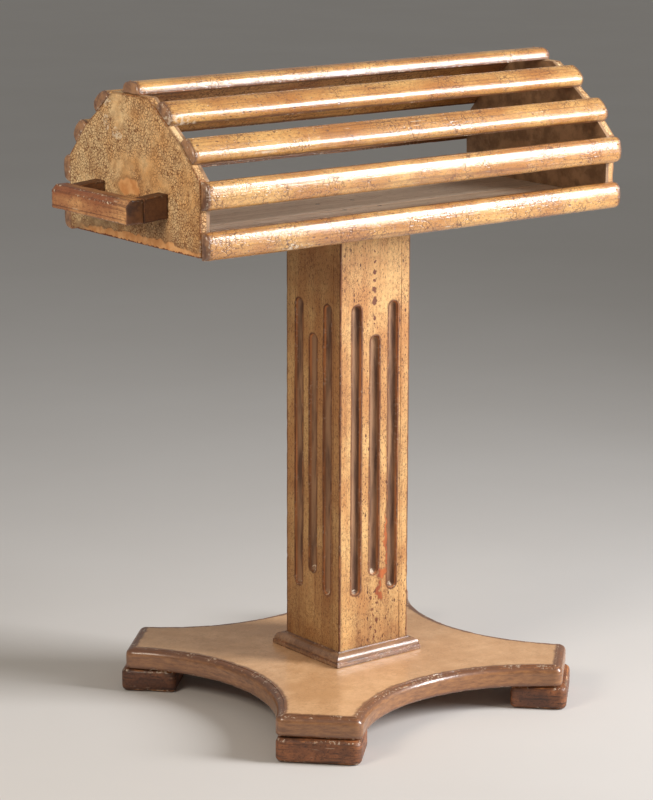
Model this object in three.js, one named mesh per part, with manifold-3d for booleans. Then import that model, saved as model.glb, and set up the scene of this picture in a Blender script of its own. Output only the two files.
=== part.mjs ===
// A painted wooden newspaper rack: an open barrel of nine slats nailed to two end panels, with a carrying
// handle at one end, standing on a fluted box column over a four-armed base with block feet.
// Millimetres, +Z up. X runs along the slats with the handle at -X, and -Y is the front.
import * as THREE from "three";
import { mergeVertices } from "three/addons/utils/BufferGeometryUtils.js";
import Module from "manifold-3d";

const wasm = await Module();
wasm.setup();

// Clearances
const gap = 0.3; // between pieces that touch
const boreGap = 0.3; // all round a screw or dowel

// Boards
const board = 19; // end panels, floor boards and column boards

// Base
const baseThickness = 37;
const baseReach = 386; // middle of the base to the flat end of an arm
const armWidth = 147; // across the flat end of an arm
const baseWaist = 230; // middle of the base to the middle of a hollowed side
const ovoloWidth = 11; // rounded moulding along the top edge
const ovoloHeight = 11;
const quirkWidth = 1.5; // step between the moulding and the flat top
const quirkHeight = 1.2;
const flatCorner = 1.5; // radius of the upright corners of the flat top
const armCorner = ovoloWidth + quirkWidth + flatCorner; // and of an arm

// Feet
const footHeight = 42;
const footWidth = 144;
const footDepth = 98;
const footReach = 394; // middle of the base to the outer face of a foot
const footCorner = 9;
const footRound = 5;

// Column
const columnWidth = 152;
const columnHeight = 772; // from the top of the base to the bottom of the rack
const blockHeight = 40; // fixing blocks inside the two ends of the column

// Flutes, three on each face
const fluteWidth = 20;
const fluteDepth = 8;
const flutePitch = 40;
const fluteStart = 118; // foot of the column to the lower end of an outer flute
const fluteEnd = 141; // top of the column to the upper end of an outer flute
const middleFluteStart = 150;
const middleFluteEnd = 197;

// Plinth moulding round the foot of the column
const plinthReach = 17;
const plinthHeight = 23;
const plinthFillet = 8; // upright band along its lower edge
const plinthStep = 1.5;

// Rack
const rackLength = 886;
const rackWidth = 375; // over the end panels, under the slats
const eaveHeight = 122; // height of the upright sides of an end panel
const hipHeight = 178; // height where the side slope changes
const hipWidth = 267;
const crownHeight = 240;
const crownWidth = 100;
const crownShift = 6; // the crown lies this far behind the middle
const frontBoardWidth = 160; // the front floor board, the back one fills the rest

// Slats
const slatWidth = 46;
const slatThickness = 20.5;
const slatEdge = 5; // upright part of a slat's edge
const slatRound = 13; // width of the rounding above it
const slatCrown = 1.2; // rise of the outer face between its rounded edges
const slatDrop = 4; // the lowest slats hang this far below the end panels
const hipMargin = 1.5; // hip to the slat below it
const hipSpace = 36; // hip to the slat above it

// Handle
const handleReach = 79; // end panel to the front of the bar
const barDepth = 32;
const barHeight = 39;
const barBottom = 49; // above the bottom of the rack
const barChamfer = 9;
const barOverhang = 15; // past the back arm
const armThickness = 25;
const armHeight = 40;
const armDrop = 4; // fall of an arm from the panel to the bar
const handleWidth = 206; // over the two arms
const handleShift = 3; // the handle sits this far behind the middle
const dowelDiameter = 10;
const dowelLength = 30;

// Screws
const headDiameter = 9;
const headDepth = 4;
const shankDiameter = 4.4;
const tipLength = 5;
const footScrewLength = 60;
const footScrewSink = 6; // head below the underside of the foot
const footScrewPitch = 80;
const baseScrewLength = 58;
const baseScrewSink = 2;
const blockScrewPitch = 76; // square of four screws into a fixing block
const floorScrewLength = 45;
const handleScrewLength = 40;
const handleScrewPitch = 20;
const screwSink = 0.5; // floor and handle screws, head below the wood
const boreHeadroom = 1; // a bore runs this far out of the wood

// Levels and half sizes
const baseTop = footHeight + baseThickness;
const rackBottom = baseTop + columnHeight;
const halfColumn = columnWidth / 2;
const halfRack = rackWidth / 2;
const panelFace = rackLength / 2; // outer face of an end panel
const barTop = barBottom + barHeight;
const barMiddle = barBottom + barHeight / 2;
const armLength = handleReach - barDepth;
const armMiddle = barMiddle + armDrop; // where an arm meets the panel

// Smoothness
const roundSides = 10;
const curveSegments = 5;
const edgeSteps = 3;
const fluteRings = 5;
const fluteSides = 20;
const samePoint = 1e-6; // points closer than this are one

const quarter = Math.PI / 2;
const origin = new THREE.Vector2();
const turned = (x, y, angle) => new THREE.Vector2(x, y).rotateAround(origin, angle);

function paint(color, roughness) {
  return new THREE.MeshStandardMaterial({ color, roughness, metalness: 0, flatShading: true });
}
const panelPaint = paint(0xb99a6c, 0.6);
const slatPaint = paint(0xcf9a52, 0.4);
const columnPaint = paint(0xcfa66c, 0.55);
const basePaint = paint(0xc39b6a, 0.55);
const darkPaint = paint(0x7c5236, 0.5);
const bareWood = paint(0xa9845a, 0.8);
const steel = new THREE.MeshStandardMaterial({ color: 0x77726a, roughness: 0.45, metalness: 1 });

// Turns a section drawn in X and Y into one in Y and Z, and its extrusion along Z into one along X.
const alongX = new THREE.Matrix4().makeBasis(
  new THREE.Vector3(0, 1, 0),
  new THREE.Vector3(0, 0, 1),
  new THREE.Vector3(1, 0, 0),
);

function toSolid(geometry) {
  const bare = geometry.clone();
  bare.deleteAttribute("normal");
  bare.deleteAttribute("uv");
  const merged = mergeVertices(bare);
  const corners = merged.index.array;
  const triangles = [];
  for (let i = 0; i < corners.length; i += 3) {
    const [a, b, c] = corners.slice(i, i + 3);
    if (a !== b && b !== c && c !== a) triangles.push(a, b, c);
  }
  const vertProperties = new Float32Array(merged.attributes.position.array);
  const triVerts = new Uint32Array(triangles);
  return new wasm.Manifold(new wasm.Mesh({ numProp: 3, vertProperties, triVerts }));
}

function toGeometry(solid) {
  const mesh = solid.getMesh();
  const geometry = new THREE.BufferGeometry();
  geometry.setAttribute("position", new THREE.BufferAttribute(mesh.vertProperties, 3));
  geometry.setIndex(new THREE.BufferAttribute(mesh.triVerts, 1));
  geometry.computeVertexNormals();
  return geometry;
}

function cut(geometry, cutters) {
  let solid = toSolid(geometry);
  for (const cutter of cutters) {
    solid = solid.subtract(toSolid(cutter));
  }
  return toGeometry(solid);
}

function addPiece(parent, name, geometry, material) {
  const mesh = new THREE.Mesh(geometry, material.clone());
  mesh.name = name;
  parent.add(mesh);
  return mesh;
}

function addGroup(parent, x, y, z) {
  const group = new THREE.Group();
  group.position.set(x, y, z);
  parent.add(group);
  return group;
}

// The points of a closed outline, without the repeats where its curves meet.
function outlinePoints(shape) {
  const points = shape.getPoints(curveSegments);
  return points.filter((point, i) => point.distanceTo(points[(i + 1) % points.length]) > samePoint);
}

function extrude(shape, depth, steps = 1) {
  const options = { depth, steps, bevelEnabled: false };
  return new THREE.ExtrudeGeometry(new THREE.Shape(outlinePoints(shape)), options);
}

// Extrudes an outline that is inset more or less at each level, given from the bottom up as [inset, height].
function mould(outline, levels) {
  const rings = levels.map(([inset]) => outlinePoints(outline(inset)));
  const geometry = extrude(outline(levels[0][0]), levels.length - 1, levels.length - 1);
  const places = geometry.attributes.position;
  const point = new THREE.Vector2();
  for (let i = 0; i < places.count; i += 1) {
    const level = Math.round(places.getZ(i));
    point.set(places.getX(i), places.getY(i));
    const distances = rings[0].map((corner) => corner.distanceTo(point));
    const corner = rings[level][distances.indexOf(Math.min(...distances))];
    places.setXYZ(i, corner.x, corner.y, levels[level][1]);
  }
  return geometry;
}

// Levels that round an upper edge, from the side up to the top.
function roundEdge(width, height, top) {
  return Array.from({ length: edgeSteps }, (unused, k) => {
    const angle = ((k + 1) / edgeSteps) * quarter;
    return [width * (1 - Math.cos(angle)), top - height * (1 - Math.sin(angle))];
  });
}

function sweepX(shape, length) {
  return extrude(shape, length).applyMatrix4(alongX);
}

// A box between two opposite corners.
function block(from, to) {
  const size = to.map((value, i) => value - from[i]);
  const middle = to.map((value, i) => (value + from[i]) / 2);
  return new THREE.BoxGeometry(...size).translate(...middle);
}

function polygon(points) {
  return new THREE.Shape(points.map(([x, y]) => new THREE.Vector2(x, y)));
}

function lathe(points) {
  const profile = points.map(([radius, height]) => new THREE.Vector2(radius, height));
  return new THREE.LatheGeometry(profile, roundSides).rotateX(quarter);
}

// A countersunk screw, its head's top at the origin and its tip pointing down.
function screw(length) {
  return lathe([
    [0, -length],
    [shankDiameter / 2, tipLength - length],
    [shankDiameter / 2, -headDepth],
    [headDiameter / 2, 0],
    [0, 0],
  ]);
}

// The hole for such a screw, with a counterbore from the head out past the surface.
function screwBore(length, sink) {
  const shank = shankDiameter / 2 + boreGap;
  const head = headDiameter / 2 + boreGap;
  return lathe([
    [0, -length - 2 * boreGap],
    [shank, tipLength - length - boreGap],
    [shank, -headDepth - boreGap],
    [head, -boreGap],
    [head, sink + boreHeadroom],
    [0, sink + boreHeadroom],
  ]);
}

function dowel(clearance) {
  const radius = dowelDiameter / 2 + clearance;
  const length = dowelLength + 2 * clearance;
  return new THREE.CylinderGeometry(radius, radius, length, roundSides).rotateZ(quarter);
}

// Base: four arms with flat ends, joined by hollowed sides that are arcs centred outside the base.

const tipAcross = (baseReach - armWidth / 2) * Math.SQRT1_2; // arm tip, along a side from its middle
const tipOut = (baseReach + armWidth / 2) * Math.SQRT1_2; // arm tip, outwards from the middle of the base
const hollowRise = tipOut - baseWaist;
const hollowRadius = (hollowRise ** 2 + tipAcross ** 2) / (2 * hollowRise);
const hollowCentre = baseWaist + hollowRadius;

// Distance along the end of an arm from its middle to the hollowed side, both moved in by the inset.
function endAcross(inset) {
  const diagonal = hollowCentre * Math.SQRT1_2;
  return diagonal - Math.sqrt((hollowRadius + inset) ** 2 - (baseReach - inset - diagonal) ** 2);
}

function baseOutline(inset) {
  const corner = turned(baseReach - armCorner, endAcross(armCorner), Math.PI / 4);
  const lean = Math.atan2(hollowCentre - corner.y, -corner.x);
  const shape = new THREE.Shape();
  for (let i = 0; i < 4; i += 1) {
    const turn = i * quarter;
    const near = turned(corner.x, corner.y, turn);
    const far = turned(-corner.x, corner.y, turn);
    const hollow = turned(0, hollowCentre, turn);
    shape.absarc(near.x, near.y, armCorner - inset, turn + quarter / 2, turn + lean, false);
    shape.absarc(hollow.x, hollow.y, hollowRadius + inset, turn + lean - Math.PI, turn - lean, true);
    shape.absarc(far.x, far.y, armCorner - inset, turn + Math.PI - lean, turn + 1.5 * quarter, false);
  }
  return shape;
}

// The moulded board: an ovolo round its top edge, and the flat top standing a quirk above that.
function baseBoard() {
  const ovoloTop = baseThickness - quirkHeight;
  const inner = ovoloWidth + quirkWidth;
  return mould(baseOutline, [
    [0, 0],
    [0, ovoloTop - ovoloHeight],
    ...roundEdge(ovoloWidth, ovoloHeight, ovoloTop),
    [inner, ovoloTop],
    [inner, baseThickness],
  ]);
}

function footOutline(inset) {
  const across = footWidth / 2 - footCorner;
  const outer = footReach - footCorner;
  const inner = footReach - footDepth + inset;
  const shape = new THREE.Shape();
  shape.moveTo(inner, inset - footWidth / 2);
  shape.lineTo(outer, inset - footWidth / 2);
  shape.absarc(outer, -across, footCorner - inset, -quarter, 0, false);
  shape.absarc(outer, across, footCorner - inset, 0, quarter, false);
  shape.lineTo(inner, footWidth / 2 - inset);
  return shape;
}

function footBlock() {
  const top = footHeight - gap;
  const upper = roundEdge(footRound, footRound, top);
  const lower = upper.map(([inset, height]) => [inset, top - height]).reverse();
  return mould(footOutline, [...lower, [0, footRound], [0, top - footRound], ...upper]);
}

const armNames = ["back_right", "back_left", "front_left", "front_right"];
const armAngle = (i) => (i + 0.5) * quarter;
const footScrewPlaces = [-1, 1].map((side) => [footReach - footDepth / 2, (side * footScrewPitch) / 2]);
const blockScrewPlaces = [[-1, -1], [1, -1], [1, 1], [-1, 1]].map(([x, y]) => [
  (x * blockScrewPitch) / 2,
  (y * blockScrewPitch) / 2,
]);

// Bores for screws that are driven upwards, their heads sunk above the given level.
function upwardBores(places, length, sink, level) {
  return places.map(([x, y]) => screwBore(length, sink).rotateX(Math.PI).translate(x, y, level + sink));
}

function downwardBores(places, length, sink, level) {
  return places.map(([x, y]) => screwBore(length, sink).translate(x, y, level - sink));
}

function addBase(parent) {
  const footBores = () => upwardBores(footScrewPlaces, footScrewLength, footScrewSink, 0);
  const baseBores = upwardBores(blockScrewPlaces, baseScrewLength, baseScrewSink, 0);
  const armBores = armNames.flatMap((name, i) =>
    footBores().map((bore) => bore.translate(0, 0, -footHeight).rotateZ(armAngle(i))),
  );
  const plate = cut(baseBoard(), [...baseBores, ...armBores]);
  addPiece(parent, "base_board", plate, basePaint).position.z = footHeight;
  armNames.forEach((name, i) => {
    const arm = addGroup(parent, 0, 0, 0);
    arm.rotation.z = armAngle(i);
    addPiece(arm, `foot_${name}`, cut(footBlock(), footBores()), darkPaint);
    footScrewPlaces.forEach(([x, y], k) => {
      const fastener = addPiece(arm, `foot_screw_${name}_${k + 1}`, screw(footScrewLength), steel);
      fastener.position.set(x, y, footScrewSink);
      fastener.rotation.x = Math.PI;
    });
  });
}

// Column: four fluted boards, each lapping the edge of the next, round a fixing block at each end.

const columnNames = ["front", "right", "back", "left"];

function flute(across, start, end) {
  const radius = ((fluteWidth / 2) ** 2 + fluteDepth ** 2) / (2 * fluteDepth);
  const length = end - start - fluteWidth;
  const capsule = new THREE.CapsuleGeometry(radius, length, fluteRings, fluteSides).rotateX(quarter);
  return capsule.translate(across, fluteDepth - radius - halfColumn, (start + end) / 2);
}

// The three flutes of a face, the given number of quarter turns round from the front.
function faceFlutes(turns) {
  const outerEnd = columnHeight - fluteEnd;
  const flutes = [
    flute(-flutePitch, fluteStart, outerEnd),
    flute(0, middleFluteStart, columnHeight - middleFluteEnd),
    flute(flutePitch, fluteStart, outerEnd),
  ];
  return flutes.map((cutter) => cutter.rotateZ(turns * quarter));
}

// A board carries the flutes of its own face, and any that reach its edge from the face beside it.
function columnBoard() {
  const from = [-halfColumn, -halfColumn, gap];
  const to = [halfColumn - board - gap, board - halfColumn, columnHeight - gap];
  return cut(block(from, to), [...faceFlutes(0), ...faceFlutes(-1)]);
}

function fixingBlock(from, to) {
  const half = halfColumn - board - gap;
  return block([-half, -half, from], [half, half, to]);
}

// One length of plinth moulding along the front, mitred to its neighbours at both ends.
function plinthLength() {
  const nearFace = -halfColumn - gap;
  const farFace = -halfColumn - plinthReach;
  const shape = new THREE.Shape();
  shape.moveTo(nearFace, gap);
  shape.lineTo(farFace, gap);
  shape.lineTo(farFace, plinthFillet);
  shape.lineTo(farFace + plinthStep, plinthFillet);
  shape.quadraticCurveTo(farFace + plinthStep, plinthHeight - plinthStep, nearFace - plinthStep,
    plinthHeight - plinthStep);
  shape.lineTo(nearFace - plinthStep, plinthHeight);
  shape.lineTo(nearFace, plinthHeight);
  const unit = 1;
  const length = sweepX(shape, unit).translate(-unit / 2, 0, 0);
  const corners = length.attributes.position;
  for (let i = 0; i < corners.count; i += 1) {
    corners.setX(i, Math.sign(corners.getX(i)) * (-corners.getY(i) - gap * Math.SQRT1_2));
  }
  return length;
}

function addColumn(parent) {
  const column = addGroup(parent, 0, 0, baseTop);
  columnNames.forEach((name, i) => {
    addPiece(column, `column_board_${name}`, columnBoard(), columnPaint).rotation.z = i * quarter;
    addPiece(column, `plinth_moulding_${name}`, plinthLength(), darkPaint).rotation.z = i * quarter;
  });
  const lowerBores = upwardBores(blockScrewPlaces, baseScrewLength, baseScrewSink, -baseThickness);
  const lower = cut(fixingBlock(gap, blockHeight), lowerBores);
  addPiece(column, "column_block_lower", lower, bareWood);
  const upperBores = downwardBores(blockScrewPlaces, floorScrewLength, screwSink, columnHeight + board);
  const upper = cut(fixingBlock(columnHeight - blockHeight, columnHeight - gap), upperBores);
  addPiece(column, "column_block_upper", upper, bareWood);
  blockScrewPlaces.forEach(([x, y], i) => {
    const lowerScrew = addPiece(column, `base_screw_${i + 1}`, screw(baseScrewLength), steel);
    lowerScrew.position.set(x, y, baseScrewSink - baseThickness);
    lowerScrew.rotation.x = Math.PI;
    const upperScrew = addPiece(column, `floor_screw_${i + 1}`, screw(floorScrewLength), steel);
    upperScrew.position.set(x, y, columnHeight + board - screwSink);
  });
}

// Rack: two arched end panels, a floor of two boards between them, and slats over their edges.

// Half of the arch from its foot to its crown, on the front (-1) or the back (1).
function archPoints(side) {
  return [
    new THREE.Vector2(side * halfRack, 0),
    new THREE.Vector2(side * halfRack, eaveHeight),
    new THREE.Vector2((side * hipWidth) / 2 + crownShift / 2, hipHeight),
    new THREE.Vector2((side * crownWidth) / 2 + crownShift, crownHeight),
  ];
}

function endPanel(cutters) {
  const outline = [...archPoints(-1), ...archPoints(1).reverse()];
  return cut(sweepX(new THREE.Shape(outline), board), cutters);
}

function slat() {
  const half = slatWidth / 2;
  const shoulder = slatThickness - slatCrown;
  const shape = new THREE.Shape();
  shape.moveTo(-half, 0);
  shape.lineTo(half, 0);
  shape.lineTo(half, slatEdge);
  shape.absellipse(half - slatRound, slatEdge, slatRound, shoulder - slatEdge, 0, quarter);
  shape.quadraticCurveTo(0, slatThickness + slatCrown, slatRound - half, shoulder);
  shape.absellipse(slatRound - half, slatEdge, slatRound, shoulder - slatEdge, quarter, Math.PI);
  return sweepX(shape, rackLength);
}

// Lays a slat on the edge of the arch, its middle at a distance along the line from one point to another.
function addSlat(parent, name, from, to, along) {
  const direction = to.clone().sub(from).normalize();
  const normal = new THREE.Vector2(-direction.y, direction.x);
  const middle = direction.multiplyScalar(along).add(from);
  const inside = new THREE.Vector2(0, eaveHeight / 2);
  if (middle.clone().sub(inside).dot(normal) < 0) normal.negate();
  middle.addScaledVector(normal, gap);
  const mesh = addPiece(parent, name, slat(), slatPaint);
  mesh.position.set(-panelFace, middle.x, middle.y);
  mesh.rotation.x = Math.atan2(-normal.x, normal.y);
}

function addSlats(parent) {
  const half = slatWidth / 2;
  const frontCrown = archPoints(-1)[3];
  addSlat(parent, "slat_top", frontCrown, archPoints(1)[3], crownWidth / 2);
  for (const [name, side] of [["front", -1], ["back", 1]]) {
    const [foot, eave, hip, crown] = archPoints(side);
    addSlat(parent, `slat_${name}_1`, hip, crown, hipSpace + half);
    addSlat(parent, `slat_${name}_2`, hip, eave, hipMargin + half);
    addSlat(parent, `slat_${name}_3`, eave, foot, half);
    addSlat(parent, `slat_${name}_4`, foot, eave, half - slatDrop);
  }
}

function addFloor(parent) {
  const end = panelFace - board - gap;
  const seam = frontBoardWidth - halfRack;
  const bores = () => downwardBores(blockScrewPlaces, floorScrewLength, screwSink, board);
  const front = block([-end, -halfRack, 0], [end, seam, board]);
  const back = block([-end, seam + gap, 0], [end, halfRack, board]);
  addPiece(parent, "floor_board_front", cut(front, bores()), bareWood);
  addPiece(parent, "floor_board_back", cut(back, bores()), bareWood);
}

// Handle: two arms screwed through the left end panel, with a bar dowelled across their ends.
// Its own frame has X = 0 at the outer face of the panel.

const handleScrewPlaces = [-1, 1].flatMap((side) =>
  [-1, 1].map((step) => [
    (side * (handleWidth - armThickness)) / 2,
    armMiddle + (step * handleScrewPitch) / 2,
  ]),
);
const handleNames = [["front", -1], ["back", 1]];

function handleBores() {
  return handleScrewPlaces.map(([y, z]) =>
    screwBore(handleScrewLength, screwSink).rotateY(quarter).translate(board - screwSink, y, z),
  );
}

function dowelBores() {
  return handleNames.map(([, side]) =>
    dowel(boreGap).translate(-armLength, (side * (handleWidth - armThickness)) / 2, barMiddle),
  );
}

function handleArm(side) {
  const end = -armLength + gap;
  const half = armHeight / 2;
  const shape = polygon([
    [-gap, armMiddle - half],
    [-gap, armMiddle + half],
    [end, armMiddle - armDrop + half],
    [end, armMiddle - armDrop - half],
  ]);
  const outer = (side * handleWidth) / 2;
  const far = Math.max(outer, outer - side * armThickness);
  const arm = extrude(shape, armThickness).rotateX(quarter).translate(0, far, 0);
  return cut(arm, [...handleBores(), ...dowelBores()]);
}

function handleBar() {
  const shape = polygon([
    [-handleReach, barBottom],
    [-handleReach, barTop - barChamfer],
    [-handleReach + barChamfer, barTop],
    [-armLength, barTop],
    [-armLength, barBottom],
  ]);
  const bar = extrude(shape, handleWidth + barOverhang).rotateX(quarter);
  return cut(bar.translate(0, handleWidth / 2 + barOverhang, 0), dowelBores());
}

function addHandle(parent) {
  const handle = addGroup(parent, -panelFace, handleShift, 0);
  addPiece(handle, "handle_bar", handleBar(), darkPaint);
  for (const [name, side] of handleNames) {
    const pin = addPiece(handle, `handle_dowel_${name}`, dowel(0), bareWood);
    pin.position.set(-armLength, (side * (handleWidth - armThickness)) / 2, barMiddle);
    addPiece(handle, `handle_arm_${name}`, handleArm(side), darkPaint);
  }
  handleScrewPlaces.forEach(([y, z], i) => {
    const fastener = addPiece(handle, `handle_screw_${i + 1}`, screw(handleScrewLength), steel);
    fastener.position.set(board - screwSink, y, z);
    fastener.rotation.y = quarter;
  });
}

function addRack(parent) {
  const rack = addGroup(parent, 0, 0, rackBottom);
  const screwHoles = handleBores().map((bore) => bore.translate(0, handleShift, 0));
  addPiece(rack, "end_panel_left", endPanel(screwHoles), panelPaint).position.x = -panelFace;
  addPiece(rack, "end_panel_right", endPanel([]), panelPaint).position.x = panelFace - board;
  addFloor(rack);
  addSlats(rack);
  addHandle(rack);
}

// The origin is on the ground under the middle of the overall length, handle included.
const stand = new THREE.Group();
const body = addGroup(stand, handleReach / 2, 0, 0);
addBase(body);
addColumn(body);
addRack(body);

export default stand;
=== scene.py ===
"""Looks of the newspaper rack: worn, rounded versions of its wooden pieces in crackled and varnished paint,
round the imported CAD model. Metres, +Z up: the slats run along X, the handle is at -X and -Y is the front."""

import math
from types import SimpleNamespace

import bmesh
import bpy
import numpy as np
from mathutils import Euler, Matrix, Vector, noise


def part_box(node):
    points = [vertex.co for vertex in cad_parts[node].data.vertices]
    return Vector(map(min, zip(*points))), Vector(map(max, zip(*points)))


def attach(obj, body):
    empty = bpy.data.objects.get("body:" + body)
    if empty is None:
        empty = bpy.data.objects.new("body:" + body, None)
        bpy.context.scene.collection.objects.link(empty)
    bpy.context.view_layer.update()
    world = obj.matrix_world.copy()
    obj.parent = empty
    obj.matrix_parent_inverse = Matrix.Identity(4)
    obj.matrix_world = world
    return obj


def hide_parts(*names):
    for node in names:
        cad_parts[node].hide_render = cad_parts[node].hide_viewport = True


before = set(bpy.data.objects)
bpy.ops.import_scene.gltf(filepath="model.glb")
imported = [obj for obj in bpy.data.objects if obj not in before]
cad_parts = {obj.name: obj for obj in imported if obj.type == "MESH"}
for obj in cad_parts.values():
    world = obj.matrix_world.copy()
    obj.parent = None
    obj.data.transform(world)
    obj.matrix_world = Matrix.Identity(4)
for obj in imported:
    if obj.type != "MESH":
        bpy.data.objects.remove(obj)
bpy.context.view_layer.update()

MM = 0.001
QUARTER = math.pi / 2

# Base and feet: sizes that their boxes don't give
ARM_REACH = 0.386  # middle of the base to the flat end of an arm
ARM_WIDTH = 0.147  # across that end
WAIST = 0.230  # middle of the base to the middle of a hollowed side
ARM_CORNER = 0.014
OVOLO = 0.011
QUIRK_WIDTH = 0.0015
QUIRK_HEIGHT = 0.0012
LOWER_ROUND = 0.006
FOOT_CORNER = 0.013  # at the outer end
FOOT_INNER_CORNER = 0.0095
FOOT_ROUND = 0.009

# Column
FLUTE_WIDTH = 0.020
FLUTE_DEPTH = 0.008
FLUTE_PITCH = 0.040
FLUTE_ENDS = (0.118, 0.141)  # of an outer flute, from the column's foot and from its top
MIDDLE_FLUTE_ENDS = (0.150, 0.197)
RIM_SNAP = 0.0009  # points this near a flute's rim are moved onto it
COLUMN_ARRIS = 0.0015
COLUMN_JOINT = 0.0004  # radius of the other long edge, at the joint
JOINT_GLAZE = 0.0034  # how much narrower the glaze is at a joint
PLINTH_FILLET = 0.008
PLINTH_STEP = 0.0015
PLINTH_ARRIS = 0.0007

# Nails and screws
NAIL_SPREAD = 0.011  # from the middle of a slat
NAIL_SINK = 0.0007
NAIL_SIDES = 12
# Radius and height of the points of a nail's head, from the middle of its top
NAIL_HEAD = [(0, 0.0004), (0.0008, 0.00035), (0.0014, 0.0002), (0.0017, 0), (0.0017, -0.0012), (0, -0.0012)]
RECESS_CLEARANCE = 0.0003
RECESS_DEPTH = 0.0065
RECESS_SHIFT = 0.0012

# Fineness of the meshes
STEP = 0.006
FINE_STEP = 0.002
ARC_STEPS = 4
SAME_PLACE = 0.00002
SHARP_ANGLE = math.radians(40)


# -------- outlines


def unit(vectors):
    return vectors / np.maximum(np.linalg.norm(vectors, axis=-1, keepdims=True), 1e-12)


def left_of(directions):
    """The inward normals of an outline that is walked anticlockwise."""
    return np.stack([-directions[..., 1], directions[..., 0]], -1)


def spaced(points, count):
    """The same line with that many evenly spaced points."""
    lengths = np.r_[0, np.cumsum(np.linalg.norm(np.diff(points, axis=0), axis=1))]
    at = np.linspace(0, lengths[-1], count)
    return np.stack([np.interp(at, lengths, points[:, k]) for k in range(2)], 1)


def hull(points):
    """The convex hull of points in a plane, anticlockwise."""
    ordered = sorted(set(map(tuple, np.round(points, 6))))

    def chain(row):
        kept = []
        for p in row:
            while len(kept) > 1:
                (ax, ay), (bx, by) = kept[-2:]
                if (bx - ax) * (p[1] - ay) - (by - ay) * (p[0] - ax) > 1e-10:
                    break
                kept.pop()
            kept.append(p)
        return kept[:-1]

    return np.array(chain(ordered) + chain(ordered[::-1]))


def corners(node, axis=Vector((0, 0, 0)), angle=0):
    """A CAD node's vertices, measured from an upright axis and turned back about it by an angle."""
    back = Matrix.Rotation(-angle, 3, "Z")
    return np.array([back @ (v.co - axis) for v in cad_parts[node].data.vertices])


def smoothed(points, rounds=2):
    """Chaikin's corner cutting of an open line, whose ends stay."""
    for _ in range(rounds):
        first = points[:-1] * 0.75 + points[1:] * 0.25
        second = points[:-1] * 0.25 + points[1:] * 0.75
        between = np.stack([first, second], 1).reshape(-1, 2)
        points = np.vstack([points[:1], between[1:-1], points[-1:]])
    return points


def runs_of(outline, corner_angle):
    """Splits a closed outline at the corners that turn by more than that angle."""
    ahead = unit(np.roll(outline, -1, 0) - outline)
    behind = np.roll(ahead, 1, 0)
    turn = np.degrees(np.arccos(np.clip((ahead * behind).sum(1), -1, 1)))
    starts = [i for i in range(len(outline)) if turn[i] > corner_angle]
    runs = []
    for start, end in zip(starts, starts[1:] + starts[:1]):
        count = (end - start) % len(outline) or len(outline)
        run = np.array([outline[(start + k) % len(outline)] for k in range(count + 1)])
        runs.append(smoothed(run) if count > 2 else run)
    return runs


def point_counts(runs, step):
    """How many points each run of an outline gets."""
    return [max(int(np.linalg.norm(np.diff(run, axis=0), axis=1).sum() / step), 2) for run in runs]


def ring(runs, counts, inset, radii):
    """The outline moved in by inset, with its corners rounded, and each point's distance from the nearest
    corner."""
    begin = np.array([unit(run[1] - run[0]) for run in runs])
    end = np.array([unit(run[-1] - run[-2]) for run in runs])
    before = np.roll(end, 1, 0)
    inward_before, inward_after = left_of(before), left_of(begin)
    mitre = (inward_before + inward_after) / (1 + (inward_before * inward_after).sum(1, keepdims=True))
    corner = np.array([run[0] for run in runs]) + inset * mitre
    half_turn = np.arccos(np.clip((before * begin).sum(1), -1, 1)) / 2
    radius = np.maximum(np.array(radii) - inset, 0)
    trim = radius * np.tan(half_turn)
    points = []
    for i, run in enumerate(runs):
        after = (i + 1) % len(runs)
        centre = corner[i] - before[i] * trim[i] + inward_before[i] * radius[i]
        for share in np.linspace(0, 1, ARC_STEPS + 1):
            direction = unit(-inward_before[i] * (1 - share) - inward_after[i] * share)
            points.append(centre + direction * radius[i] if radius[i] > 0 else corner[i])
        first = corner[i] + begin[i] * trim[i]
        last = corner[after] - end[i] * trim[after]
        along = unit(np.gradient(run, axis=0))
        moved = run + inset * left_of(along)
        ahead = (moved - first) @ begin[i] > 0
        short = (moved - last) @ end[i] < 0
        line = np.vstack([first, moved[ahead & short], last])
        points.extend(spaced(line, counts[i] + 2)[1:-1])
    points = np.array(points)
    arrises = np.array([run[0] for run in runs])
    gaps = np.linalg.norm(points[:, None] - arrises[None], axis=2).min(1)
    return points, gaps


# -------- meshes


def finish_mesh(name, bm):
    """Makes the object of a finished bmesh: smooth, but sharp where it turns by more than SHARP_ANGLE."""
    bmesh.ops.recalc_face_normals(bm, faces=bm.faces)
    for face in bm.faces:
        face.smooth = True
    for edge in bm.edges:
        edge.smooth = edge.calc_face_angle(0) < SHARP_ANGLE
    mesh = bpy.data.meshes.new(name)
    bm.to_mesh(mesh)
    bm.free()
    piece = bpy.data.objects.new(name, mesh)
    bpy.context.scene.collection.objects.link(piece)
    return piece


def distinct(row):
    """A ring's vertices without those that share their neighbour's place."""
    return [v for i, v in enumerate(row) if (v.co - row[i - 1].co).length > SAME_PLACE]


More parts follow.
